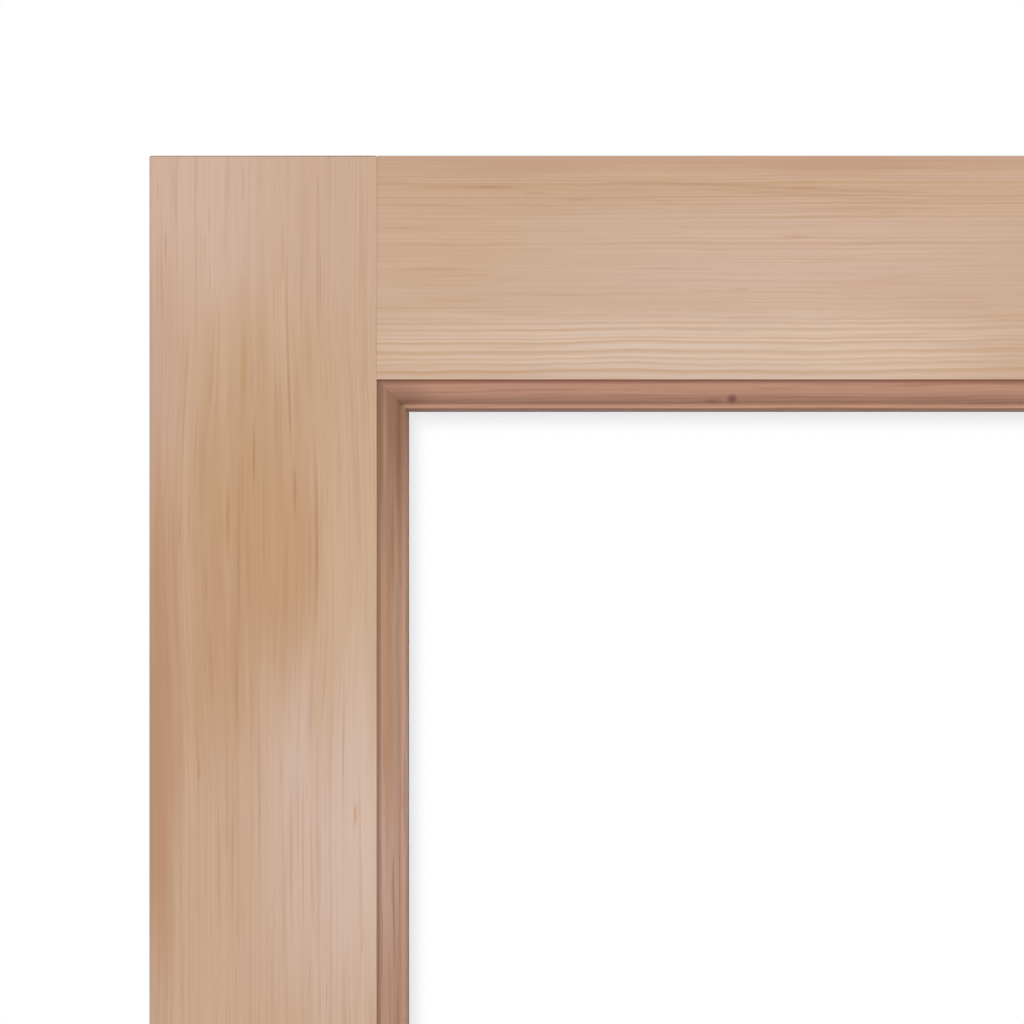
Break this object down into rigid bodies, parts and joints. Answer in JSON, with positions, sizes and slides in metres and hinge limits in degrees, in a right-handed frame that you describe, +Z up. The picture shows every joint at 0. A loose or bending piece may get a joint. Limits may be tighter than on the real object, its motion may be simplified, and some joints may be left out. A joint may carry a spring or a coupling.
{
  "type": "prehung sauna door",
  "caption": "Glazed softwood stile-and-rail door leaf with moulded glazing beads, hung on butt hinges in its own jamb with threshold and stops, with a wooden pull on each face and a ball catch.",
  "frame": {"origin": "middle of the threshold's underside, where the unit stands on the floor", "axes": "+Z up; +X across the doorway from the hinge side to the latch side; +Y through the wall into the sauna, so the leaf opens towards -Y"},
  "size_m": [0.678, 0.7445, 2.078],
  "materials": {
    "leaf_fir": "clear vertical-grain fir, planed and sanded",
    "bead_fir": "redder fir, moulded",
    "jamb_fir": "clear fir, planed",
    "pull_cedar": "red cedar, sanded smooth",
    "dowel_beech": "turned beech",
    "satin_steel": "satin stainless steel",
    "zinc_steel": "zinc-plated steel",
    "hardware_brass": "plain turned brass",
    "spacer_aluminium": "mill finish aluminium",
    "glazing_seal": "black sealant and tape",
    "setting_rubber": "hard black rubber",
    "clear_glass": "clear tempered float glass"
  },
  "bodies": {
    "frame": {"hinge_jamb": "jamb_fir", "latch_jamb": "jamb_fir", "head_jamb": "jamb_fir", "threshold": "jamb_fir", "hinge_side_stop": "jamb_fir", "latch_side_stop": "jamb_fir", "head_stop": "jamb_fir", "frame_screw_top_hinge_1": "zinc_steel", "frame_screw_top_hinge_2": "zinc_steel", "frame_screw_top_latch_1": "zinc_steel", "frame_screw_top_latch_2": "zinc_steel", "frame_screw_bottom_hinge_1": "zinc_steel", "frame_screw_bottom_hinge_2": "zinc_steel", "frame_screw_bottom_latch_1": "zinc_steel", "frame_screw_bottom_latch_2": "zinc_steel", "top_hinge_jamb_half": "satin_steel", "middle_hinge_jamb_half": "satin_steel", "bottom_hinge_jamb_half": "satin_steel", "top_hinge_pin": "satin_steel", "middle_hinge_pin": "satin_steel", "bottom_hinge_pin": "satin_steel", "strike_plate": "satin_steel"},
    "leaf": {"latch_stile": "leaf_fir", "hinge_stile": "leaf_fir", "top_rail": "leaf_fir", "bottom_rail": "leaf_fir", "glazing_bead_latch": "bead_fir", "glazing_bead_hinge": "bead_fir", "glazing_bead_top": "bead_fir", "glazing_bead_bottom": "bead_fir", "inner_pane": "clear_glass", "outer_pane": "clear_glass", "glass_spacer": "spacer_aluminium", "glass_edge_seal": "glazing_seal", "outer_glazing_tape": "glazing_seal", "inner_glazing_tape": "glazing_seal", "setting_block_hinge": "setting_rubber", "setting_block_latch": "setting_rubber", "dowel_top_hinge_1": "dowel_beech", "dowel_top_hinge_2": "dowel_beech", "dowel_top_latch_1": "dowel_beech", "dowel_top_latch_2": "dowel_beech", "dowel_bottom_hinge_1": "dowel_beech", "dowel_bottom_hinge_2": "dowel_beech", "dowel_bottom_latch_1": "dowel_beech", "dowel_bottom_latch_2": "dowel_beech", "outer_pull": "pull_cedar", "inner_pull": "pull_cedar", "pull_hanger_bolt_1": "hardware_brass", "pull_hanger_bolt_2": "hardware_brass", "pull_insert_1": "hardware_brass", "pull_insert_2": "hardware_brass", "catch_barrel": "hardware_brass", "catch_face_plate": "satin_steel", "catch_spring": "satin_steel", "top_hinge_leaf_half": "satin_steel", "middle_hinge_leaf_half": "satin_steel", "bottom_hinge_leaf_half": "satin_steel"},
    "ball": {"catch_ball": "satin_steel"}
  },
  "joints": [
    {"name": "leaf_swing", "type": "hinge", "parent": "frame", "child": "leaf", "pos_m": [-0.30639, -0.07064, 1.04], "axis": [0, 0, -1], "range_deg": [-90, 85]},
    {"name": "ball_press", "type": "slide", "parent": "leaf", "child": "ball", "axis": [0, 1, 0], "range_m": [0, 0.0045], "stiffness_N_per_m": 5000, "springref_m": -0.002, "deforming": ["catch_spring"]}
  ]
}
